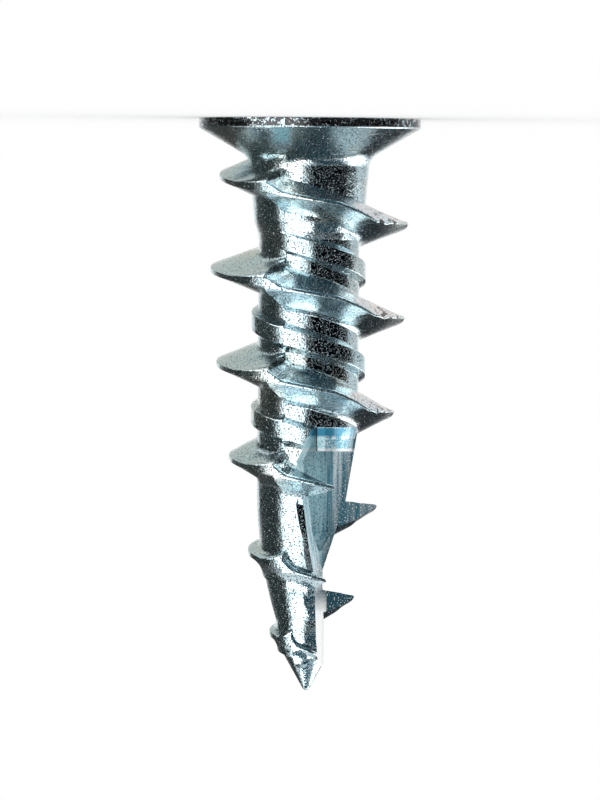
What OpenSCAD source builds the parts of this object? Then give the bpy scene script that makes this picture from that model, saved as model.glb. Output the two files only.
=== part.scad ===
// Self-drilling drywall anchor, cast in one piece.
// It stands on the flat of its head, and its drill point is up, along +Z.
// The origin is the middle of the flat. The open side of the flute faces -X and -Y.

/* [Overall] */
// Length from the flat of the head to the drill point
anchor_l = 38; // [36:0.5:42]
// Hand of the thread, seen from either end
thread_hand = "left"; // [left, right]

/* [Head] */
// Diameter of the head
head_d = 14.8; // [14:0.1:16.5]
// Height of the plain rim of the head
rim_h = 0.65; // [0.4:0.05:0.9]
// Height of the head, from its flat to where its cone meets the neck
head_h = 2.65; // [2.5:0.05:2.9]
// Radius that blends the underside of the head into the neck
head_fillet = 1.2; // [0.6:0.1:1.4]

/* [Driver recess] */
// Width across the wings of the cross recess at the flat
recess_w = 5.6; // [5:0.1:6.4]
// Thickness of each wing of the cross recess
recess_wing = 1.3; // [1:0.05:1.6]
// Depth of the cross recess
recess_depth = 3.2; // [2.6:0.1:4]

/* [Neck and shank] */
// Diameter of the neck where it leaves the head
neck_d = 7.9; // [7.7:0.05:8.4]
// Diameter of the neck at its lower end
neck_low_d = 7.3; // [7.1:0.05:7.5]
// Distance from the flat of the head to the end of the neck
neck_end = 8.1; // [7.6:0.1:8.6]
// Diameter of the parallel shank
shank_d = 6.7; // [6.5:0.05:6.9]
// Distance from the flat of the head to the end of the parallel shank
shank_end = 24.7; // [24.5:0.1:26]

/* [Drill point] */
// Diameter of the drill point at its shoulder
point_d = 4; // [3.7:0.1:4.3]
// Length of the drill point, from its shoulder to its tip
point_l = 3.3; // [3:0.1:3.6]
// Length of the parallel part before the shoulder
point_land = 1.35; // [1:0.05:1.6]
// Diameter of the small blunt end of the tip
tip_d = 0.3; // [0.2:0.05:0.5]

/* [Main thread] */
// Pitch of the thread
pitch = 6.25; // [6:0.05:6.5]
// Height of the crest on the +X side, at the first turn
crest_start = 3.85; // [3.6:0.05:4.1]
// Largest diameter of the thread
thread_d = 13.2; // [12.6:0.1:13.8]
// Diameter that the crest tapers to at the tip
thread_tip_d = 2.5; // [2.3:0.1:2.8]
// Width of the flat along the crest
crest_w = 0.3; // [0.2:0.05:0.4]
// Height that each flank takes up at the shank
flank_w = 1.1; // [1:0.05:1.3]
// Height of the flank that faces the head where the thread passes the flute
flank_head_low = 0.2; // [0.15:0.05:0.5]
// Height of the flank that faces the point where the thread reaches the drill point
flank_point_low = 0.6; // [0.4:0.05:0.8]
// Turns from the first crest on the +X side to the end of the thread
thread_turns = 5.4; // [5.3:0.05:5.5]

/* [Low thread] */
// How far the low thread stands proud of the shank
low_proud = 0.44; // [0.3:0.02:0.6]
// Width of the low thread along its top
low_top_w = 1.3; // [1:0.05:1.6]
// Width of the low thread at the shank
low_root_w = 2.4; // [2:0.05:2.7]
// Distance from the crest of the main thread to the middle of the low thread
low_offset = 3.3; // [3:0.05:3.5]

/* [Screw bore] */
// Diameter of the bore that guides the screw
bore_d = 3.3; // [2.8:0.1:3.5]
// Height above the flat of the head at which the bore begins to close
bore_end = 27.5; // [26.8:0.1:28]
// Length of the closing taper of the bore
bore_taper = 2.5; // [2:0.1:3]

/* [Flute] */
// Height above the flat of the head at which the flute begins
flute_start = 20.5; // [20.3:0.1:20.8]
// Length of the stepped shoulder at the start of the flute
flute_step = 1.6; // [1.3:0.1:1.8]
// Depth that each of the two steps of the shoulder takes off the shank
step_depth = 0.18; // [0.1:0.02:0.24]
// Turn of the flute floor towards the front, in degrees
floor_turn = 14; // [8:1:20]
// Turn of the outer limit of the flute, which leaves the thread standing, in degrees
outer_turn = 27; // [20:1:34]

/* [Hidden] */
$fn = 96;

eps = 0.01;
far = 12;
metal = [0.72, 0.78, 0.82];

head_r = head_d / 2;
neck_r = neck_d / 2;
neck_low_r = neck_low_d / 2;
shank_r = shank_d / 2;
point_r = point_d / 2;
tip_r = tip_d / 2;
bore_r = bore_d / 2;
thread_r = thread_d / 2;
thread_tip_r = thread_tip_d / 2;

// Heights along the nose and the drill point
point_start = anchor_l - point_l;
nose_end = point_start - point_land;
nose_l = nose_end - shank_end;
nose_drop = shank_r - point_r;
nose_arc_r = (nose_drop * nose_drop + nose_l * nose_l) / (2 * nose_drop);
nose_steps = 8;

// Cone under the head, from the rim to the start of its fillet
head_slope = (head_r - neck_r) / (head_h - rim_h);

// Steps of the helical sweeps in each turn
turn_steps = 36;

// Radius of the round core of the anchor at height z
function nose_r(z) = shank_r - nose_arc_r + sqrt(nose_arc_r * nose_arc_r - pow(z - shank_end, 2));
function core_r(z) =
    z < shank_end ? shank_r :
    z < nose_end ? nose_r(z) :
    z < point_start ? point_r :
    point_r - (point_r - tip_r) * (z - point_start) / point_l;

// Radius of the crest at height z: it grows under the head, and then falls towards the tip
full_z = 8;
crest_grow = 0.06;
crest_power = 1.9;
function crest_r(z) =
    z < full_z - 1 ? thread_r - crest_grow * pow(full_z - 1 - z, 2) :
    z < full_z ? thread_r :
    thread_r - (thread_r - thread_tip_r) * pow((z - full_z) / (anchor_l - full_z), crest_power);

// Edge of the relieved side behind the flute, as [distance from the axis, height]
relief_top = [shank_r - 1.4 * step_depth, flute_start + flute_step];
relief_mid = [2.55, 25.4];
relief_waist = [0.9, 30.5];
relief_low = [1.16, 33.3];
relief_end = [relief_low[0], anchor_l - 1.3];
relief_edge = [[shank_r, flute_start], relief_top, relief_mid, relief_waist, relief_low, relief_end];
function relief_r(z) = lookup(z, [for (p = relief_edge) [p[1], p[0]]]);

// Radius at which the root of a rib is buried in the core
root_least = 0.5;
root_bury = 0.5;
side_bury = 0.35;
function root_r(z) =
    max(root_least, min(core_r(z) - root_bury, z < flute_start ? far : relief_r(z) - side_bury));

// The helix: turn 0 is on the +X side, and the pitch shortens along the drill point
short_from = 4;
short_by = 0.85;
function helix_z(turn) = crest_start + pitch * turn - short_by * pow(max(0, turn - short_from), 2);
function on_helix(turn, r, z) = [r * cos(360 * turn), -r * sin(360 * turn), z];

// The casting was drawn from a two-part mould, along a line that is 27 degrees off the X axis.
// Where a flank leans away from that line, the mould fills the hollow behind it. This is the height
// that a rib of crest radius rc and flank slope takes up at radius r, seen at phi degrees from the
// line: the widest of the rib's own section and of the sections nearer the line, drawn across.
draw_turn = 27;
draw_steps = 12;
draw_from = 50;
function drawn_half(r, rc, half, slope, phi) =
    max([for (i = [0 : draw_steps])
        let (q = phi - (phi - draw_from) * i / draw_steps, rq = r * sin(phi) / sin(q))
        if (q <= phi && rq <= rc + eps) pitch / 360 * (phi - q) + half + slope * (rc - rq)]);

// One flank at the given turn: side is -1 towards the head, and +1 towards the drill point.
// The mould fills one side before it parts, and the other side after it.
function flank_half(turn, side, r, rc, half, slope) =
    let (
        m = (360 * turn + 90 + draw_turn) % 180,
        after = m < 90,
        phi = abs(m - 90)
    )
    (after ? side > 0 : side < 0) && phi > draw_from
        ? drawn_half(r, rc, half, slope, phi)
        : half + slope * (rc - r);

// Turns at which a rib is cut into sections: even steps, with a close pair at each parting line
parting = (90 - draw_turn) / 360;
parting_gap = 0.5 / 360;
half_steps = turn_steps / 2;
function turns(from, to) = concat(
    [from],
    [for (n = [floor(2 * (from - parting)) : ceil(2 * (to - parting))], i = [0 : half_steps])
        let (t = parting + n / 2 + parting_gap + (0.5 - 2 * parting_gap) * i / half_steps)
        if (t > from + parting_gap && t < to - parting_gap) t],
    [to]
);

// Section of a rib at a turn, from the root towards the head to the root towards the point. The
// flanks pass through the given radii, and run on to the root, inside the core. Half holds the
// widths of the crest towards the head and towards the point, and slope those of its flanks.
root_slope = 0.4;
function rib_ring(turn, z, radii, root, rc, half, slope) =
    let (
        last = len(radii) - 1,
        bury = radii[0] - root,
        head = [for (r = radii) z - flank_half(turn, -1, r, rc, half[0], slope[0])],
        point = [for (r = radii) z + flank_half(turn, 1, r, rc, half[1], slope[1])]
    )
    concat(
        [on_helix(turn, root, head[0] - min(root_slope, slope[0]) * bury)],
        [for (i = [0 : last]) on_helix(turn, radii[i], head[i])],
        [for (i = [last : -1 : 0]) on_helix(turn, radii[i], point[i])],
        [on_helix(turn, root, point[0] + root_slope * bury)]
    );

// Closed body swept along the helix: rings is a list of sections with the same number of points
module helical_body(rings) {
    n = len(rings);
    k = len(rings[0]);
    faces = concat(
        [[for (j = [0 : k - 1]) j]],
        [for (i = [0 : n - 2], j = [0 : k - 1])
            [i * k + j, (i + 1) * k + j, (i + 1) * k + (j + 1) % k, i * k + (j + 1) % k]],
        [[for (j = [k - 1 : -1 : 0]) (n - 1) * k + j]]
    );
    polyhedron(points = [for (ring = rings, p = ring) p], faces = faces, convexity = 12);
}

// Value that runs evenly from a to b while x goes between two limits
function blend(x, from, to, a, b) = a + (b - a) * min(1, max(0, (x - from) / (to - from)));

// Main thread: its flanks keep their height at the shank while the crest falls towards the tip.
// On the -X side the crest is thinner, and beside the flute the flank towards the point is shorter.
// The thread ends by sinking into the drill point.
thread_from = -0.35;
crest_least = 0.3;
crest_thin = 0.85;
beside_flute = 0.4;
last_flank = 0.3;
foot_sunk = 0.1;
end_fade = 0.12;
function thread_ring(turn) =
    let (
        z = helix_z(turn),
        rc = blend(turn, thread_turns - end_fade, thread_turns, crest_r(z), core_r(z) - foot_sunk),
        rs = min(core_r(z), rc - crest_least),
        root = min(root_r(z), rs - 2 * foot_sunk),
        side = max(0, -cos(360 * turn)),
        head_w = blend(z, flute_start + 2, flute_start + 4.7, flank_w, flank_head_low),
        point_w = blend(z, flute_start, point_start, flank_w, flank_point_low)
            * blend(z, nose_end, point_start + 0.5, 1, last_flank)
            * (1 - beside_flute * side * blend(z, flute_start + 2, nose_end - 2, 0, 1)),
        half = [crest_w / 2 * (1 - crest_thin * side), crest_w / 2]
    )
    rib_ring(turn, z, [rs - foot_sunk, for (k = [0.5, 0.85, 1]) rs + k * (rc - rs)], root, rc, half,
        [head_w, point_w] / (rc - rs));
module main_thread()
    helical_body([for (t = turns(thread_from, thread_turns)) thread_ring(t)]);

// Low thread: a flat-topped rib half way between the turns of the main thread. It rises out of
// the shank below the neck, and stops at the flute.
low_from = 1.08;
low_to = 3.265;
low_rise = 0.24;
low_sunk = 0.1;
function low_ring(turn) =
    let (
        z = helix_z(turn - 1) + low_offset,
        rc = shank_r - low_sunk + (low_proud + low_sunk) * min(1, (turn - low_from) / low_rise),
        slope = (low_root_w - low_top_w) / 2 / low_proud
    )
    rib_ring(turn, z, [for (k = [1.3, 0.25, 0]) rc - k * low_proud], shank_r - 2 * root_bury, rc,
        [low_top_w, low_top_w] / 2, [slope, slope]);
module low_thread()
    helical_body([for (t = turns(low_from, low_to)) low_ring(t)]);

// Head, neck, shank, nose and drill point, turned as one profile
fillet_steps = 5;
neck_chamfer = 0.5;
neck_step = 0.06;
module core() {
    cone_a = atan(1 / head_slope);
    fillet_set = head_fillet * tan((90 - cone_a) / 2);
    rotate_extrude()
        polygon(concat(
            [[0, 0], [head_r, 0], [head_r, rim_h]],
            [for (i = [0 : fillet_steps])
                let (a = cone_a + (90 - cone_a) * i / fillet_steps)
                [neck_r + head_fillet * (1 - sin(a)), head_h + fillet_set - head_fillet * cos(a)]],
            [[neck_low_r, neck_end - 1.2], [shank_r + neck_step, neck_end - neck_chamfer]],
            [[shank_r, neck_end]],
            [for (i = [0 : nose_steps])
                let (z = shank_end + nose_l * i / nose_steps)
                [nose_r(z), z]],
            [[point_r, point_start], [tip_r, anchor_l], [0, anchor_l]]
        ));
}

// Clear space beside the flute, behind its flat wall: the core is thinner there. It reaches a
// little into the flute.
relief_over = 0.2;
module side_relief() {
    rotate([90, 0, 0])
        translate([0, 0, -far])
            linear_extrude(far + relief_over)
                polygon(concat(
                    [for (p = relief_edge) [-p[0], p[1]]],
                    [[-tip_r, anchor_l + eps], [-far, anchor_l + eps], [-far, flute_start]]
                ));
}

// Stepped shoulder at the start of the flute, on the -Y side
shoulder_from = 0.63;
module flute_shoulder() {
    mid = flute_start + flute_step / 2;
    low = flute_start + flute_step;
    intersection() {
        rotate_extrude()
            polygon([
                [shank_r, flute_start],
                [far, flute_start],
                [far, low + eps],
                [shank_r - 2 * step_depth, low + eps],
                [shank_r - 1.3 * step_depth, mid],
            ]);
        translate([-far, -far, 0])
            cube([far - shoulder_from, far, anchor_l]);
    }
}

// Flute: open to the -X side, with a flat wall on the plane of the axis. Its floor is drawn as
// [distance from the axis, height above the start of the flute]: a corner, a slanting edge down to
// the deepest place, where the flute opens the bore, and a long rise back to the drill point. Over
// is how much larger the flute is cut.
floor_corner = [1.35, -0.2];
floor_deep = [-0.1, 2.3];
floor_turned = [0.1, 4.7];
floor_rise = [0.64, 8.45];
floor_end = [1.04, 9.6];
module flute_floor(over) {
    top = anchor_l - flute_start + 1;
    translate([-over, flute_start])
        polygon([
            [floor_corner[0], flute_step],
            floor_corner,
            floor_deep,
            floor_turned,
            floor_rise,
            floor_end,
            [floor_end[0], top],
            [far, top],
            [far, flute_step],
        ]);
}

// Plane that ends the flute on the +X side. It leans outwards towards the point.
outer_set = 3.28;
outer_z = 24;
outer_lean = 10.4;
module flute(over = 0) {
    intersection() {
        rotate([0, 0, 180 + floor_turn])
            rotate([90, 0, 0])
                translate([0, 0, -far])
                    linear_extrude(2 * far)
                        flute_floor(over);
        translate([-far, -far, 0])
            cube([2 * far, far + over, anchor_l + 2]);
        rotate([0, 0, 180 + outer_turn])
            translate([0, outer_set + over, outer_z])
                rotate([outer_lean, 0, 0])
                    translate([-far, -2 * far, -far])
                        cube([2 * far, 2 * far, 3 * far]);
    }
}

// Bore from the head to the flute, with a closing taper
bore_tip_r = 0.2;
module screw_bore() {
    rotate_extrude()
        polygon([
            [0, -eps],
            [bore_r, -eps],
            [bore_r, bore_end],
            [bore_tip_r, bore_end + bore_taper],
            [0, bore_end + bore_taper],
        ]);
}

// Cross recess for the driver, narrower at its foot
recess_taper = 1.2;
module driver_recess() {
    intersection() {
        translate([0, 0, -eps])
            cylinder(r1 = recess_w / 2, r2 = recess_w / 2 - recess_taper, h = recess_depth + eps);
        for (a = [0, 90])
            rotate([0, 0, a])
                translate([-far, -recess_wing / 2, -1])
                    cube([2 * far, recess_wing, 2 * far]);
    }
}

// The casting. The threads are cut back a little further than the core, so that no two of the cut
// faces lie in one plane.
thread_over = 0.03;
module anchor() {
    color(metal)
        mirror([thread_hand == "right" ? 1 : 0, 0, 0])
            difference() {
                union() {
                    difference() {
                        core();
                        side_relief();
                        flute_shoulder();
                        flute();
                    }
                    difference() {
                        main_thread();
                        flute(thread_over);
                    }
                    difference() {
                        low_thread();
                        flute(thread_over);
                    }
                }
                screw_bore();
                driver_recess();
            }
}

anchor();
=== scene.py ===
import bpy
import math
import numpy as np
from mathutils import Matrix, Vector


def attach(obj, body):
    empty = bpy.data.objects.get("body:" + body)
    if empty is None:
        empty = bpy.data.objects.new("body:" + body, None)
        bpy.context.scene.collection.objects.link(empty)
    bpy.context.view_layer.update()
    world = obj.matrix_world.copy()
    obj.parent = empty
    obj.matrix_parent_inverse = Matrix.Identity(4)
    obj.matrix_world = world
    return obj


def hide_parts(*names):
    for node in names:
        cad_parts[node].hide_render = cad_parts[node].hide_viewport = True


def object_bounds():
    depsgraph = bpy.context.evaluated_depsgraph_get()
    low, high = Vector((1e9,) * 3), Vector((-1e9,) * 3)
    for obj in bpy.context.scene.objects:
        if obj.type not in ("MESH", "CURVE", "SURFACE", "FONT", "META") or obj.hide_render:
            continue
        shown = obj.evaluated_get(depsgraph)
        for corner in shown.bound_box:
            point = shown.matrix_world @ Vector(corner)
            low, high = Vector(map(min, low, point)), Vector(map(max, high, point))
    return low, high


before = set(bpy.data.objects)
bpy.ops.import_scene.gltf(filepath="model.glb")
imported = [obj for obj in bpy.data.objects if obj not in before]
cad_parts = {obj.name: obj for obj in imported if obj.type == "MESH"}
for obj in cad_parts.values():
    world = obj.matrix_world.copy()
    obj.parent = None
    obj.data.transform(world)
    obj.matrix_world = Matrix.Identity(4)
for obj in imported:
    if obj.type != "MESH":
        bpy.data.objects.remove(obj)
packed_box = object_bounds()
scene = bpy.context.scene


# Core of the anchor: head, neck, shank, nose and drill point, die-cast in zinc as one round body.
# It is turned from a profile of (radius, height above the flat of the head), in millimetres, whose
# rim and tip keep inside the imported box.

mm = 0.001
packed_r, packed_l = round(packed_box[1][0] / mm, 3), round(packed_box[1][2] / mm, 3)
inset = 0.015
head_r, tip_z = packed_r - inset, packed_l - inset
rim_h, head_h = 0.65, 2.65
neck_r, neck_low_r, shank_r, land_r, tip_r = 3.95, 3.65, 3.35, 2.0, 0.15
shank_end, land_start, point_start = 24.7, 33.35, 34.7
nose_arc = ((shank_r - land_r) ** 2 + (land_start - shank_end) ** 2) / (2 * (shank_r - land_r))
cone_angle = math.degrees(math.atan2(head_h - rim_h, packed_r - neck_r))
fillet_r = 1.2
fillet_z = head_h + fillet_r * math.tan(math.radians((90 - cone_angle) / 2))
flat_line, flat_round = [(0.4, 0), (head_r - 0.12, 0)], 0.09
rim_round, rim_round_z = 0.07, rim_h - 0.06
head_cone = [(7.33, rim_h + 0.04), (4.62, 2.262)]
neck_taper = [(3.935, 3.65), (neck_low_r + 0.01, 6.8)]
neck_ring = [(neck_low_r, 6.9), (neck_low_r - 0.03, 6.98), (3.44, 7.52), (3.41, 7.6), (3.4, 7.64)]
shank_ring = [(3.375, 8.0), (3.355, 8.08), (shank_r, 8.14)]
blunt_tip = [(0.13, tip_z - 0.045), (0.06, tip_z), (0, tip_z)]
steps_round = 288


def arc(centre, radius, start, stop, count):
    """Points of a circle arc: the centre, plus the radius times the cosine and the sine of evenly
    spaced angles, in degrees."""
    a = np.radians(np.linspace(start, stop, count))
    return np.column_stack([centre[0] + radius * np.cos(a), centre[1] + radius * np.sin(a)])


def core_r(z):
    """Radius of the core below the neck: the shank, an arc that leaves it without a kink, a short
    parallel land and the cone of the drill point."""
    z = np.asarray(z, float)
    drop = np.clip(z, shank_end, land_start) - shank_end
    nose = shank_r - nose_arc + np.sqrt(nose_arc ** 2 - drop ** 2)
    return nose - (land_r - tip_r) * np.clip((z - point_start) / (tip_z - point_start), 0, 1)


def turned(profile, columns):
    """Surface of revolution, closed by a pole at each end: each point (r, z) of the profile makes a
    ring, x = r cos a and y = r sin a. The profile starts and ends on the axis."""
    a = np.linspace(0, 2 * np.pi, columns, endpoint=False)
    r, z = profile[1:-1, :1], profile[1:-1, 1:]
    n = len(r)
    rings = np.stack([r * np.cos(a), r * np.sin(a), z + 0 * a], -1).reshape(-1, 3)
    poles = [[0, 0, profile[0, 1]], [0, 0, profile[-1, 1]]]
    i, j = np.meshgrid(np.arange(n - 1) * columns, np.arange(columns), indexing="ij")
    k = (j + 1) % columns
    wall = np.stack([i + j, i + k, i + columns + k, i + columns + j], -1).reshape(-1, 4)
    c = np.arange(columns)
    d = (c + 1) % columns
    pole = np.full(columns, n * columns)
    first_fan = np.stack([pole, d, c], -1)
    last_fan = np.stack([pole + 1, c - columns + pole, d - columns + pole], -1)
    return np.vstack([rings, poles]), wall.tolist() + first_fan.tolist() + last_fan.tolist()


class Wire:
    """A shader socket. Sums with it are written as sums, and each operator adds a Math node."""

    def __init__(self, finish, socket):
        self.finish, self.socket = finish, socket

    def sum(self, kind, a, b):
        return self.finish.add("ShaderNodeMath", {"operation": kind}, a, b)

    def __add__(self, other):
        return self.sum("ADD", self, other)

    def __sub__(self, other):
        return self.sum("SUBTRACT", self, other)

    def __rsub__(self, other):
        return self.sum("SUBTRACT", other, self)

    def __mul__(self, other):
        return self.sum("MULTIPLY", self, other)

    __radd__, __rmul__ = __add__, __mul__


class Finish:
    """The nodes of a material or of the world."""

    def __init__(self, owner):
        owner.use_nodes = True
        self.tree = owner.node_tree
        self.tree.nodes.clear()

    def add(self, kind, settings, *values, out=0, **named):
        """Adds a node of a type with its settings, then fills its sockets, in order or by name, with
        values or links. None leaves a socket alone."""
        node = self.tree.nodes.new(kind)
        for key, value in settings.items():
            setattr(node, key, value)
        sockets = list(zip(node.inputs, values))
        sockets += [(node.inputs[key.replace("_", " ")], value) for key, value in named.items()]
        for socket, value in sockets:
            if isinstance(value, Wire):
                self.tree.links.new(value.socket, socket)
            elif value is not None:
                socket.default_value = value
        return Wire(self, node.outputs[out]) if node.outputs else None

    def place(self):
        """Object coordinates in metres: the vector and its three parts."""
        spot = self.add("ShaderNodeTexCoord", {}, out=3)
        return spot, *(self.add("ShaderNodeSeparateXYZ", {}, spot, out=k) for k in range(3))

    def noise(self, place, waves, detail, rough=0.5):
        """Noise around 0.5, of so many waves a metre."""
        return self.add("ShaderNodeTexNoise", {}, place, Scale=waves, Detail=detail, Roughness=rough)

    def between(self, value, low, high, start=0.0, stop=1.0):
        """From start to stop while the value goes from low to high, with soft ends."""
        soft = {"interpolation_type": "SMOOTHSTEP"}
        return self.add("ShaderNodeMapRange", soft, value, low, high, start, stop)

    def from_edge(self, value, edge):
        """Mask that rises while the value crosses an edge, a pair in millimetres."""
        return self.between(value, edge[0] * mm, edge[1] * mm)

    def up_to_edge(self, value, edge):
        """Mask that falls while the value crosses an edge, a pair in millimetres."""
        return self.between(value, edge[0] * mm, edge[1] * mm, 1.0, 0.0)

    def strip(self, value, rise, fall):
        """Mask of the strip from one edge to another."""
        return self.from_edge(value, rise) * self.up_to_edge(value, fall)

    def beyond(self, far, edge):
        """Mask of what is further from the axis than an edge, a pair of radii in millimetres, from the
        square of the distance to the axis."""
        return self.between(far, (edge[0] * mm) ** 2, (edge[1] * mm) ** 2)

    def layers(self, colour, *coats):
        """A colour with coats over it, each a share and a colour."""
        for share, coat in coats:
            settings = {"data_type": "RGBA"}
            colour = self.add("ShaderNodeMix", settings, share, *[None] * 5, colour, coat, out=2)
        return colour


# Bright zinc plating, slightly blue, which mirrors its surroundings. The die-cast skin under it is wavy,
# with black pits, bright rough grains painted white as glints and a grey bloom in places. The rim of the
# head is painted near black as shade, with bright chips; the head's cone has a matt blue patch that is a
# painted reflection; and the -X side's crests are dented, with painted shade in the dents.
zinc_blue, bloom_grey = (0.60, 0.75, 0.80, 1), (0.70, 0.77, 0.76, 1)
# The rim's black is painted shade, the patch's blue a painted reflection, the grains' white painted
# glints; the pits' black also paints the shade in the dents.
pit_and_shade_black, rim_shade_black = (0.012, 0.014, 0.016, 1), (0.05, 0.042, 0.045, 1)
reflection_blue, glint_white = (0.30, 0.60, 0.70, 1), (0.97, 0.98, 1.0, 1)
rim_edge, rim_top, flank_edge = (0.99 * head_r, 0.995 * head_r), (0.55, 0.62), (3.7, 4.4)
reflection_x, reflection_y, reflection_z = [(0.8, 1.6), (2.1, 3.0)], (-1.0, 0.0), [(0.6, 0.8), (1.3, 2.5)]
dented_edge, dented_x, dented_z = (5.2, 5.6), (-4.6, -4.0), (3.0, 3.5)
waves_h, skin_h = 0.07 * mm, 0.01 * mm

plating = bpy.data.materials.new("zinc_plating")
zinc = Finish(plating)
spot, x, y, z = zinc.place()
wave = zinc.noise(spot, 600.0, 3.0)
grain = zinc.noise(spot, 9500.0, 1.0)
flecks = zinc.noise(spot, 10500.0, 0.0)
pits = zinc.between(flecks, 0.62, 0.67)
# Glints: where the fine noise is low, rough grains are painted white as glints, less metallic and rougher.
glints = zinc.between(flecks, 0.18, 0.225, 1.0, 0.0)
bloom = zinc.between(zinc.noise(spot, 300.0, 3.0), 0.48, 0.66)
rim_shade_mottle = zinc.between(zinc.noise(spot, 3600.0, 2.0, 0.7), 0.53, 0.57, 1.0, 0.0)
knocks = zinc.between(zinc.noise(spot, 2200.0, 1.0), 0.58, 0.61)
far = x * x + y * y
# Painted shade: the rim of the head is painted near black, save for bright chips where the mottle noise is
# low.
shaded_rim = zinc.beyond(far, rim_edge) * zinc.up_to_edge(z, rim_top)
flanks = zinc.beyond(far, flank_edge) - shaded_rim
# Painted reflection: a matt light-blue patch on the head's cone, on its -Y side.
reflection_patch = zinc.strip(x, *reflection_x) * zinc.strip(z, *reflection_z) * zinc.up_to_edge(y, reflection_y)
# Dents on the -X side's crests: bumped in, and painted black as the shade in them.
shaded_dents = knocks * zinc.beyond(far, dented_edge) * zinc.up_to_edge(x, dented_x) * zinc.from_edge(z, dented_z)
colour = zinc.layers(
    zinc_blue, (bloom, bloom_grey), (reflection_patch, reflection_blue), (pits * 0.9, pit_and_shade_black),
    (shaded_rim * rim_shade_mottle * 0.93, rim_shade_black), (shaded_dents * 0.9, pit_and_shade_black), (glints, glint_white))
swell = zinc.add("ShaderNodeBump", {}, Strength=1.0, Distance=waves_h, Height=wave)
relief = grain * 1.5 - pits - shaded_dents * 6
skin = zinc.add("ShaderNodeBump", {}, Strength=1.0, Distance=skin_h, Height=relief, Normal=swell)
metal = zinc.add("ShaderNodeBsdfPrincipled", {}, Base_Color=colour, Normal=skin,
                 Metallic=1 - reflection_patch * 0.75 - glints * 0.6, Roughness=0.05 + flanks * 0.06 + glints * 0.45)
zinc.add("ShaderNodeOutputMaterial", {}, metal)


def body(name, points, faces, finish=plating):
    """Mesh object from points in millimetres. It stays at the origin, with its place in its mesh."""
    mesh = bpy.data.meshes.new(name)
    mesh.materials.append(finish)
    mesh.from_pydata((np.asarray(points) * mm).tolist(), [], faces)
    mesh.update()
    piece = bpy.data.objects.new(name, mesh)
    scene.collection.objects.link(piece)
    return piece


shank_z, nose_z = np.linspace(8.4, 24.4, 33), np.linspace(shank_end, 33.3, 50)
land_z, point_z = np.array([33.42, 34.0, 34.62]), np.linspace(34.75, 37.85, 22)
lower_z = np.concatenate([shank_z, nose_z, land_z, point_z])
core = body("core", *turned(np.vstack([
    [(0, 0)],
    np.linspace(*flat_line, 16),
    arc((head_r - flat_round, flat_round), flat_round, -72, 0, 5),
    arc((head_r - rim_round, rim_round_z), rim_round, 0, 58, 5),
    np.linspace(*head_cone, 24),
    arc((neck_r + fillet_r, fillet_z), fillet_r, 270 - cone_angle, 180, 16),
    np.linspace(*neck_taper, 18),
    neck_ring,
    shank_ring,
    np.column_stack([core_r(lower_z), lower_z]),
    blunt_tip,
]), steps_round))


# Main thread: one deep left-hand rib, cast with the core. Its flanks are filled where the two-part
# mould, drawn 27 degrees off the X axis, couldn't follow them, so the crest jogs at the parting line.
# Turns are counted from the +X side, over the front.

pitch, first_crest_z, thread_r, thread_tip_r = 6.25, 3.85, 6.58, 1.25
tight_from, tightening = 4, 0.85
grown_z, growth = 7, 0.06
fall_from, fall_l, fall_power = 8, 30, 1.9
draw_turn, undercut, fill_steps = 27, 50, 24
parting = (90 - draw_turn) / 360
half_turn_sections = 90


def helix_z(t):
    """Height of the crest after t turns. The pitch shortens along the drill point."""
    return first_crest_z + pitch * t - tightening * np.maximum(0, t - tight_from) ** 2


def crest_r(z):
    """Radius of the crest: it grows under the head, then falls along the shank to the tip."""
    grow = thread_r - growth * np.maximum(0, grown_z - z) ** 2
    fall = (thread_r - thread_tip_r) * (np.clip(z - fall_from, 0, None) / fall_l) ** fall_power
    return grow - fall


def blend(place, low, high, a, b):
    """Value that runs evenly from a to b between two places."""
    return a + (b - a) * np.clip((place - low) / (high - low), 0, 1)


def own_half(r, crest, half, slope, crown):
    """Half height of a rib at radius r, for the radius of its crest: a crown as high as told, which
    is an ellipse at each corner of the crest, then a straight flank."""
    over = np.clip((r - crest + crown) / crown, 0, 1)
    rounded = half - np.minimum(half, crown) * (1 - np.sqrt(1 - over ** 2))
    return np.where(r < crest - crown, half + slope * (crest - crown - r), rounded)


def cast_half(t, side, r, crest, half, slope, crown):
    """Half height of a rib as cast. Within 40 degrees of the parting line, on the side that leans
    away from the draw line, it is the largest of its own sections nearer the draw line, each moved
    along that line: at phi degrees from the line, the section at q degrees meets radius
    r sin(phi) / sin(q), and stands higher by the rise of the helix between the two."""
    past_draw = (360 * t + 90 + draw_turn) % 180
    phi = np.abs(past_draw - 90)
    filled = (phi > undercut) & ((past_draw < 90) == (side > 0))
    best = own_half(r, crest, half, slope, crown)
    for share in np.linspace(0, 1, fill_steps + 1)[1:]:
        q = phi - (phi - undercut) * share
        met = r * np.sin(np.radians(phi)) / np.sin(np.radians(np.maximum(q, 1)))
        moved = pitch / 360 * (phi - q) + own_half(met, crest, half, slope, crown)
        best = np.where(filled & (met <= crest), np.maximum(best, moved), best)
    return best


def along(start, stop, gap=0.0004, least=0.001):
    """Turns at which a rib is cut into sections: even steps, with a close pair at each parting line."""
    first, last = math.floor(2 * (start - parting)), math.ceil(2 * (stop - parting))
    edges = parting + np.arange(first, last + 1) / 2
    t = np.concatenate([np.linspace(e + gap, e + 0.5 - gap, half_turn_sections) for e in edges])
    inner = t[(t > start + least) & (t < stop - least)]
    return np.concatenate([[start], inner, [stop]])


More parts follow.
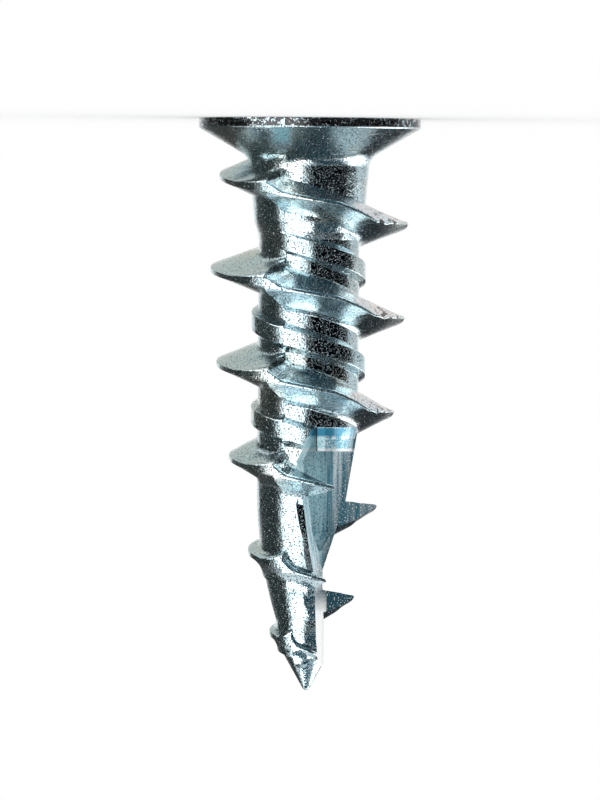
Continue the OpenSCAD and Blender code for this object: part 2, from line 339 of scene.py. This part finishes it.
def swept(t, r, z):
    """Closed body swept along the helix: row i is the section at turn t[i], with its points at
    radius r[i, j] and height z[i, j]; x = r cos(360 t) and y = -r sin(360 t)."""
    a = -2 * np.pi * t[:, None]
    n, k = r.shape
    points = np.stack([r * np.cos(a), r * np.sin(a), z], -1).reshape(-1, 3)
    i, j = np.meshgrid(np.arange(n - 1) * k, np.arange(k), indexing="ij")
    after = (j + 1) % k
    quads = np.stack([i + j, i + after, i + k + after, i + k + j], -1).reshape(-1, 4)
    return points, quads.tolist() + [list(range(k))[::-1], list(range((n - 1) * k, n * k))]


foot_rows = np.array([0, 0.1, 0.25, 0.45, 0.7])
flank_rows = np.linspace(0.12, 1, 8)
crown_rows = np.array([0.2, 0.4, 0.6, 0.75, 0.87, 0.95, 0.99, 1])
root_slope = 0.4


def rib(t, z, root, foot, crest, half, slope, crown, fillet, bent=0):
    """Sections of a rib: from its root up the flank that faces the head, over the crest, and down
    the flank that faces the point. Half, slope and crown hold a value for each of the two flanks. At
    the foot each flank leaves the core in a quarter circle. Bent is how far the crest leans towards
    the point: the rib follows it with the cube of the distance from the foot."""
    reach = max(crown[0].max(), crown[1].max())
    knee = crest - reach
    low = foot[:, None] + foot_rows * fillet
    flank = low[:, -1:] + flank_rows * (knee - low[:, -1])[:, None]
    over = knee[:, None] + crown_rows * reach
    r = np.concatenate([low, flank, over], 1)
    up = r - foot[:, None]
    curve = fillet * (1 - np.sqrt(1 - np.clip(1 - up / fillet, 0, 1) ** 2))
    leant = np.asarray(bent)[..., None] * np.clip(up / (crest - foot)[:, None], 0, 1) ** 3
    sides = []
    for side, h, s, c in zip((-1, 1), half, slope, crown):
        w = cast_half(t[:, None], side, r, crest[:, None], h[:, None], s[:, None], c[:, None])
        w += curve + side * leant
        w_root = w[:, 0] + np.minimum(root_slope, s) * (foot - root)
        sides.append(z[:, None] + side * np.concatenate([w_root[:, None], w], 1))
    r = np.concatenate([root[:, None], r], 1)
    return np.concatenate([r, r[:, ::-1]], 1), np.concatenate([sides[0], sides[1][:, ::-1]], 1)


flute_z, step_z = 20.5, 22.1
relief_line = np.array([
    (shank_r, flute_z), (3.1, step_z), (2.55, 25.4), (0.9, 30.5), (1.16, 33.3), (1.16, 36.7)])
thread_start, fade_start, thread_end, fade_sunk = -0.32, 5.28, 5.4, 0.1
rib_least_h, foot_sunk, root_least_h = 0.3, 0.1, 0.2
root_depth, relieved_depth, root_least_r = 0.5, 0.35, 0.5
flank_w, flute_head_w, flute_point_w, crest_shift = 1.1, 0.2, 0.6, 0.09
head_narrow_z, tip_narrow_z, tip_share = (flute_z + 2, flute_z + 4.7), (land_start, 35.2), 0.3
side_narrow_z, side_share = (flute_z + 2, land_start - 2), 0.4
crest_head_half, crest_point_half, crest_thinner = 0.24, 0.13, 0.12
soft_edge, crisp_edge, point_edge, crisp_from = 0.28, 0.1, 0.12, -0.1
crest_land_from, crest_land_w, crest_land_fade = 0.1, 0.47, 0.03
bend_turns, bends, bent_lobes = [0.3, 0.34, 0.372, 0.43, 0.49], [0, 0.3, 0.68, 0.42, 0], 3
nick_turn, nick_w, nick = 0.394, 0.007, 0.12
foot_round, foot_crisper, foot_crisp_z = 0.5, 0.47, (flute_z - 2, flute_z)

turn = along(thread_start, thread_end)
height = helix_z(turn)
crest = blend(turn, fade_start, thread_end, crest_r(height), core_r(height) - fade_sunk)
foot = np.minimum(core_r(height), crest - rib_least_h)
relieved = np.interp(height, relief_line[:, 1], relief_line[:, 0]) - relieved_depth
root = np.maximum(root_least_r, np.minimum(core_r(height) - root_depth, relieved))
root = np.minimum(root, foot - root_least_h)

# Its crest has a flat land up to the parting line in front. On the -X side it is thinner, leans over
# and has a nick. Along the flute, and towards the tip, its flanks are narrower.
right = np.maximum(0, -np.cos(2 * np.pi * turn))
past = (turn + 0.3) % 1 - 0.3
land = np.interp(past, [crest_land_from, parting, parting + crest_land_fade], [0, crest_land_w, 0])
head_w = blend(height, *head_narrow_z, flank_w, flute_head_w) - crest_shift - land
point_w = (blend(height, flute_z, point_start, flank_w, flute_point_w)
           * blend(height, *tip_narrow_z, 1, tip_share)
           * (1 - side_share * right * blend(height, *side_narrow_z, 0, 1)))
slopes = head_w / (crest - foot), point_w / (crest - foot)
halves = crest_head_half - crest_thinner * right + land, crest_point_half + 0 * turn
crisp = (past > crisp_from) & (past < parting)
crowns = np.where(crisp, crisp_edge, soft_edge), point_edge + 0 * turn
bent = sum(np.interp(turn - lobe, bend_turns, bends)
           + nick * np.exp(-((turn - lobe - nick_turn) / nick_w) ** 2) for lobe in range(bent_lobes))
crisper = blend(height, *foot_crisp_z, 0, 1) * np.clip(3 * right, 0, 1)
fillet = (foot_round - foot_crisper * crisper)[:, None]
main_thread = body("main_thread", *swept(turn, *rib(
    turn, height, root, foot - foot_sunk, crest, halves, slopes, crowns, fillet, bent)))


# Low thread: a flat-topped rib half way between the turns of the main one, cast with the core. It
# rises out of the shank below the neck, and ends at the flute.

low_start, low_risen, low_end, low_offset_z = 1.08, 1.32, 3.265, 3.3
low_sunk, low_proud, low_rib_h, low_root_depth = 0.1, 0.44, 0.57, 1
low_half, low_slope, low_edge, low_fillet = 0.58, 0.85, 0.07, 0.2

turn = along(low_start, low_end)
height = helix_z(turn - 1) + low_offset_z
crest = blend(turn, low_start, low_risen, shank_r - low_sunk, shank_r + low_proud)
even = np.ones_like(turn)
low_thread = body("low_thread", *swept(turn, *rib(
    turn, height, (shank_r - low_root_depth) * even, crest - low_rib_h, crest,
    [low_half * even] * 2, [low_slope * even] * 2, [low_edge * even] * 2, low_fillet)))


# Side relief: the -X side of the point is thinned behind the flute, and the edge between the flute
# and the front of the nose is bevelled, as the mould rounds it. Both are cut from the core alone, so
# that the thread keeps its height there.

clear, past_tip = 12, 38.1
edge_z = np.array([23.8, 25.6, 28.0, 30.0, 32.0, 34.7, 35.6])
edge_turn = np.radians([0, 31, 22, 17, 23, 22, 0])
relief_facing, bevel_facing = 180, 252


def prism(outline, depth, turn_to):
    """Straight prism: an outline of (distance from the axis, height) drawn on the upright plane that
    runs towards turn_to degrees, and carried across it from -depth[0] to depth[1]. The outline is
    taken anticlockwise, which the sign of its area tells, so that the faces point outwards."""
    a = math.radians(turn_to)
    out = np.array([math.cos(a), math.sin(a), 0])
    across = np.array([-math.sin(a), math.cos(a), 0])
    d = np.asarray(outline, float)
    r, z = d.T
    if r @ np.roll(z, -1) < z @ np.roll(r, -1):
        d = d[::-1]
    flat = d[:, :1] * out + d[:, 1:] * np.array([0, 0, 1.0])
    n = len(d)
    points = np.vstack([flat - depth[0] * across, flat + depth[1] * across])
    i = np.arange(n)
    j = (i + 1) % n
    walls = np.stack([i, j, j + n, i + n], -1)[:, ::-1]
    return points, walls.tolist() + [i.tolist(), (i[::-1] + n).tolist()]


def joined(base, tool, how):
    """Takes the casting through a boolean with another closed body, which is then used up."""
    step = base.modifiers.new(how, "BOOLEAN")
    step.operation, step.solver, step.object, step.material_mode = how, "MANIFOLD", tool, "TRANSFER"
    made = bpy.data.meshes.new_from_object(base.evaluated_get(bpy.context.evaluated_depsgraph_get()))
    base.modifiers.clear()
    base.data = made
    bpy.data.objects.remove(tool)


thinned = [*relief_line, (tip_r, past_tip), (clear, past_tip), (clear, flute_z)]
joined(core, body("relieved_side", *prism(thinned, (clear, 0.2), relief_facing)), "DIFFERENCE")
edge_line = np.column_stack([core_r(edge_z) * np.cos(edge_turn), edge_z])
bevelled = [*edge_line, (clear, edge_z[-1]), (clear, edge_z[0])]
joined(core, body("rounded_edge", *prism(bevelled, (clear, clear), bevel_facing)), "DIFFERENCE")


# Flute: the notch that clears the dust, open to the -X side. The mould's slide draws it, with a
# shoulder of two fine cones at its top, a flat wall on the plane of the axis and a floor that rises to
# the drill point. Its outer limit leaves the thread standing in front.

shoulder_x, shoulder_low_z = 0.63, step_z + 0.01
shoulder_line = np.array([
    (0, 20.4), (shank_r, 20.4), (shank_r, 20.52), (3.33, 20.55), (3.13, 21.27), (3.09, 21.3),
    (3.075, 21.35), (2.98, step_z), (2.98, 22.3), (0, 22.3)])
notch_r, notch_z, open_z = 1.35, 20.3, 39
floor_line = [(0.08, 22.8), (0.45, 25.2), (0.92, 28.95), (1.08, 30.1), (1.04, open_z)]
low_z, high_z, outer_z, outer_r, outer_slope = 10, 40, 24, 3.28, 0.1835
outer_low_r = outer_r + outer_slope * (outer_z - low_z)
outer_line = [(outer_low_r, low_z), (outer_r, outer_z), (2.72, 29), (2.36, 30.2), (0.4, high_z)]
flute_facing, floor_facing, outer_facing, block_half = 180, 194, 297, 13

# The faces that the slide leaves are smooth: satin, sky blue and faintly streaked. Painted shade darkens
# the two cones of the shoulder, the first to a deep blue band, and a painted highlight draws a pale line
# at its step. Near the axis the faces carry a painted reflection, pale blue that fades towards the point,
# and a pale white painted reflection at the drill point end. The cut faces of the thread are painted
# dark teal as shade, and speckled.
drawn_blue, drawn_white, shelf_shade_blue = (0.12, 0.36, 0.48, 1), (0.84, 0.96, 1.0, 1), (0.14, 0.42, 0.54, 1)
lit_wash_blue, cut_shade_teal, band_shade_blue = (0.66, 0.95, 1.0, 1), (0.017, 0.09, 0.125, 1), (0.04, 0.27, 0.42, 1)
speck_dark, speck_light, lit_white = (0.04, 0.14, 0.19, 1), (0.9, 0.93, 0.95, 1), (0.96, 0.97, 0.97, 1)
# Heights of the painted shade on the shoulder's cones and of the painted highlight at its step.
band_z, shelf_z = [(20.5, 20.62), (21.0, 21.25)], [(21.25, 21.35), (22.0, 22.1)]
ledge_highlight_z = [(21.88, 21.96), (22.1, 22.2)]
inner_edge, pale_edge, pale_start = (-1.25, -1.05), (-1.4, -1.25), (31.0, 33.0)
cut_edge, cut_lean = (7.5, 8.6), 0.245
drawn_skin_h = 0.006 * mm

drawn = bpy.data.materials.new("zinc_drawn")
zinc = Finish(drawn)
spot, x, y, z = zinc.place()
drawn_out = zinc.add("ShaderNodeVectorMath", {"operation": "MULTIPLY"}, spot, (1, 1, 0.05))
streaks = zinc.noise(drawn_out, 3500.0, 3.0)
flecks = zinc.noise(spot, 10500.0, 0.0)
# Painted shade: the cut faces of the thread are painted dark teal, more so towards the point.
shaded_cut_faces = zinc.from_edge(z * cut_lean - x, cut_edge) * zinc.between(z, 26.0 * mm, 31.0 * mm, 0.66, 1.0)
inner = zinc.from_edge(x, inner_edge)
# Painted reflection: a pale white end of the faces near the axis, at the drill point.
lit_end = zinc.from_edge(z, pale_start) * zinc.from_edge(x, pale_edge)
# Painted shade: a deep blue band over the first cone of the shoulder.
shaded_band = zinc.strip(z, *band_z) * zinc.between(x, -2.7 * mm, -1.4 * mm, 0.55, 1.0)
# Painted reflection: pale blue over the faces near the axis, streaked, fading towards the point.
lit_wash = (inner * zinc.between(streaks, 0.42, 0.58, 0.7, 1.0)
        * zinc.between(z, 24.5 * mm, 28.5 * mm, 1.0, 0.4))
# Coats: streaks; shelf and band in painted shade; painted reflection near the axis and at the point end;
# cut faces in painted shade; a painted highlight at the step; dark and light specks.
colour = zinc.layers(
    drawn_blue, (zinc.between(streaks, 0.40, 0.60), drawn_white),
    (zinc.strip(z, *shelf_z) * 0.7, shelf_shade_blue), (lit_wash, lit_wash_blue), (shaded_cut_faces, cut_shade_teal),
    (zinc.between(flecks, 0.60, 0.68) * 0.6, speck_dark),
    (lit_end + zinc.strip(z, *ledge_highlight_z) * 0.6, lit_white),
    (zinc.between(flecks, 0.28, 0.36, 0.9, 0.0), speck_light), (shaded_band, band_shade_blue))
skin = zinc.add("ShaderNodeBump", {}, Strength=1.0, Distance=drawn_skin_h, Height=flecks + streaks)
metal = zinc.add("ShaderNodeBsdfPrincipled", {}, Base_Color=colour, Normal=skin, Roughness=0.24,
                 Metallic=0.45 - inner * 0.4 - lit_end * 0.4)
zinc.add("ShaderNodeOutputMaterial", {}, metal)

shoulder_block = [
    (shoulder_x, flute_z), (clear, flute_z), (clear, shoulder_low_z), (shoulder_x, shoulder_low_z)]
shoulder = body("shoulder", *prism(shoulder_block, (0, clear), flute_facing), drawn)
joined(shoulder, body("kept", *turned(shoulder_line, steps_round), drawn), "DIFFERENCE")
joined(core, shoulder, "DIFFERENCE")
opening = [(notch_r, step_z), (notch_r, notch_z), *floor_line, (clear, open_z), (clear, step_z)]
flute = body("flute", *prism(opening, (clear, clear), floor_facing), drawn)
half_block = [(-clear, low_z), (clear, low_z), (clear, high_z), (-clear, high_z)]
front = body("front_half", *prism(half_block, (0, block_half), flute_facing), drawn)
outer_block = [(-clear, low_z), *outer_line, (-clear, high_z)]
outer = body("outer_side", *prism(outer_block, (block_half, block_half), outer_facing))
joined(flute, front, "INTERSECT")
joined(flute, outer, "INTERSECT")


# Bore and driver recess: the core pin leaves a blind bore for the screw, and its head presses a cross
# for the driver into the flat of the head. Both reach a little out of the head, for a clean cut.

bore_r, bore_l, bore_tip_z, outset = 1.65, 27.5, 30, 0.5
wing_r, wing_low_r, wing_depth, wing_half = 2.8, 1.6, 3.2, 0.65

pin = np.array([(0, -outset), (bore_r, -outset), (bore_r, 10), (bore_r, 20), (bore_r, bore_l),
                (0.9, 28.8), (0.2, bore_tip_z), (0, bore_tip_z)])
bore = body("bore", *turned(pin, 128), drawn)
wing = [(-wing_r, -outset), (wing_r, -outset), (wing_r, 0), (wing_low_r, wing_depth),
        (-wing_low_r, wing_depth), (-wing_r, 0)]
recess = [body("recess", *prism(wing, (wing_half, wing_half), facing)) for facing in (0, 90)]


# Casting: core and threads are one piece of zinc, less what the slide and the pin keep free of metal.
# Its edges stay crisp where they turn by more than 24 degrees.

sharp_angle = math.radians(24)
casting = core
joined(casting, main_thread, "UNION")
joined(casting, low_thread, "UNION")
for cut in (flute, bore, *recess):
    joined(casting, cut, "DIFFERENCE")
casting.name = casting.data.name = "anchor_casting"
casting.data.shade_smooth()
casting.data.set_sharp_from_angle(angle=sharp_angle)
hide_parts("anchor")
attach(casting, "root")


# Room and floor: the room is plain white, and the plating mirrors it. The pale floor carries the head
# of the anchor and takes its shadow. The plating doesn't mirror the floor.

white, middle_z = (1, 1, 1, 1), 19
floor_r, floor_z, floor_corners = 250, -0.01, 96

world = bpy.data.worlds.new("studio")
scene.world = world
room = Finish(world)
room.add("ShaderNodeOutputWorld", {}, room.add("ShaderNodeBackground", {}, white, 1.0))
chalk = bpy.data.materials.new("floor")
paint = Finish(chalk)
paint.add("ShaderNodeOutputMaterial", {}, paint.add("ShaderNodeBsdfDiffuse", {}, white))
a = np.linspace(0, 2 * np.pi, floor_corners, endpoint=False)
disc = np.column_stack([floor_r * np.cos(a), floor_r * np.sin(a), 0 * a + floor_z])
ground = body("floor", disc, [list(range(floor_corners))], chalk)
ground.visible_glossy = False


# Screens and soft boxes: curved cloths round the anchor, which the plating mirrors. Dark ones in front
# and on the left give it its dark bands, teal ones above and below tint its flanks, and bright ones
# between them draw the white bands.

def screen(name, sideways, upright, tone, distance=300, fade=8, rows=49):
    """Part of a sphere round the anchor's middle, between two angles from the camera, counted towards
    the anchor's -X side, and two heights in degrees: x = -d sin(a) cos(e), y = -d cos(a) cos(e),
    z = d sin(e). Over the fade, in degrees, its edges go clear along a smooth step. The camera doesn't
    see it."""
    u, v = np.meshgrid(np.linspace(0, 1, rows), np.linspace(0, 1, rows))
    wide, high = sideways[1] - sideways[0], upright[1] - upright[0]
    a, e = np.radians(sideways[0] + wide * u), np.radians(upright[0] + high * v)
    points = np.stack([-np.sin(a) * np.cos(e), -np.cos(a) * np.cos(e), np.sin(e)], -1) * distance
    i, j = np.meshgrid(np.arange(rows - 1), np.arange(rows - 1), indexing="ij")
    k = i * rows + j
    quads = np.stack([k, k + rows, k + rows + 1, k + 1], -1).reshape(-1, 4)
    cloth = bpy.data.materials.new(name)
    dye = Finish(cloth)
    cover = dye.add("ShaderNodeAttribute", {"attribute_name": "cover"}, out=2)
    lit = dye.add("ShaderNodeEmission", {}, (*tone, 1), 1.0)
    clear_cloth = dye.add("ShaderNodeBsdfTransparent", {})
    mixed = dye.add("ShaderNodeMixShader", {}, cover, clear_cloth, lit)
    dye.add("ShaderNodeOutputMaterial", {}, mixed)
    piece = body(name, points.reshape(-1, 3) + [0, 0, middle_z], quads.tolist(), cloth)
    inwards = np.minimum(np.minimum(u, 1 - u) * wide, np.minimum(v, 1 - v) * high)
    edge = np.clip(inwards / fade, 0, 1)
    shares = piece.data.attributes.new("cover", "FLOAT", "POINT")
    shares.data.foreach_set("value", (edge * edge * (3 - 2 * edge)).ravel())
    piece.visible_camera = piece.visible_diffuse = piece.visible_shadow = False


screen("left_screen", (-148, -50), (-48, 48), (0.032, 0.038, 0.035), 310)
screen("back_left_screen", (-190, -138), (-66, -8), (0.62, 0.64, 0.59), 305)
screen("low_back_left_screen", (-190, -140), (3, 60), (0.05, 0.05, 0.045), 305)
screen("front_screen", (-10, 108), (-24, 20), (0.001, 0.001, 0.002), 300)
screen("high_front_screen", (-30, 104), (-54, -16), (0.008, 0.04, 0.06), 305)
screen("higher_front_screen", (-50, 110), (-90, -44), (0.05, 0.16, 0.21), 308)
screen("low_front_screen", (4, 80), (14, 52), (0.015, 0.05, 0.07), 305)
screen("lower_front_screen", (-60, 96), (50, 86), (0.04, 0.11, 0.15), 308)
screen("soft_box", (-72, -2), (-22, 38), (2.3, 2.3, 2.3), 290, 24)
screen("low_soft_box", (-68, 4), (30, 58), (5.0, 5.0, 5.0), 290)
screen("high_soft_box", (-92, -22), (-50, -18), (4.0, 4.0, 4.0), 290)
screen("right_screen", (100, 156), (-26, 6), (0.6, 0.64, 0.66), 305)
screen("right_soft_box", (80, 142), (5, 64), (2.8, 2.8, 2.8), 290)
screen("low_back_screen", (146, 184), (8, 64), (0.02, 0.025, 0.03), 285)
screen("high_back_soft_box", (112, 176), (-48, -6), (1.0, 0.9, 0.88), 285)


# Camera: far off, level with the middle of the anchor, and upside down, because the photograph shows
# the anchor with its head up. It leans by the small angle that the anchor has there.

lean = 0.0075
distance, seen_h, sensor = 1.5, 0.05316, 36
centre_x, centre_z = 0.000525, 0.01872

view = Matrix((
    (-math.cos(lean), math.sin(lean), 0),
    (0, 0, -1),
    (-math.sin(lean), -math.cos(lean), 0),
)).to_4x4()
view.translation = (centre_x, -distance, centre_z)
camera = bpy.data.objects.new("camera", bpy.data.cameras.new("camera"))
camera.data.sensor_width = sensor
camera.data.lens = sensor * distance / seen_h
camera.data.clip_end = 10
camera.matrix_world = view
scene.collection.objects.link(camera)
scene.camera = camera
scene.view_settings.view_transform = "Standard"
